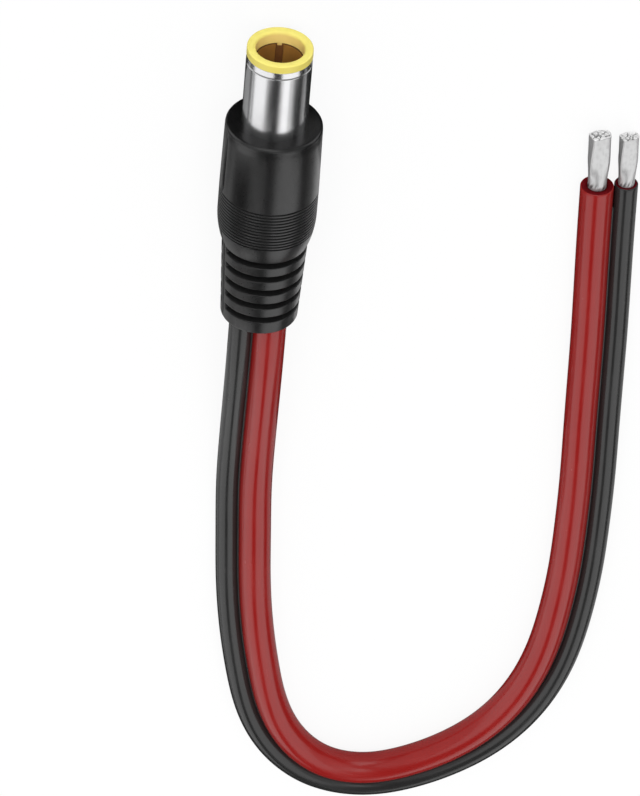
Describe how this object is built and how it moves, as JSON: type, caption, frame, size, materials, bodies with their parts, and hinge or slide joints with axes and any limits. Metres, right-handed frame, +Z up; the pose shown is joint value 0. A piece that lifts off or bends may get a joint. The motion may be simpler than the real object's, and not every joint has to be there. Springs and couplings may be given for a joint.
{
  "type": "dc power pigtail",
  "caption": "Moulded barrel power plug with a yellow tip on a red and black twin lead, with stripped and tinned ends for wiring.",
  "frame": {"origin": "middle of the plug's underside, on the surface that it lies on", "axes": "-Y along the plug's axis out of its mouth, +Z up from the surface that it lies on"},
  "size_m": [0.0528, 0.1251, 0.012],
  "materials": {
    "black_moulding": "satin",
    "nickel_barrel": "polished",
    "yellow_bush": "satin",
    "brass_contact": "plain",
    "dark_bead": "matt",
    "pale_spacer": "matt",
    "solder": "dull",
    "tinned_copper": "tinned",
    "red_insulation": "satin",
    "black_insulation": "satin"
  },
  "bodies": {
    "root": {"overmould": "black_moulding", "outer_sleeve": "nickel_barrel", "tip_insulator": "yellow_bush", "inner_contact": "brass_contact", "centre_pin": "brass_contact", "pin_bead": "dark_bead", "rear_spacer": "pale_spacer", "sleeve_lug": "brass_contact", "red_solder": "solder", "black_solder": "solder", "red_tail": "tinned_copper", "black_tail": "tinned_copper", "red_lead": "red_insulation", "black_lead": "black_insulation", "red_bare_end": "tinned_copper", "black_bare_end": "tinned_copper"}
  },
  "joints": []
}
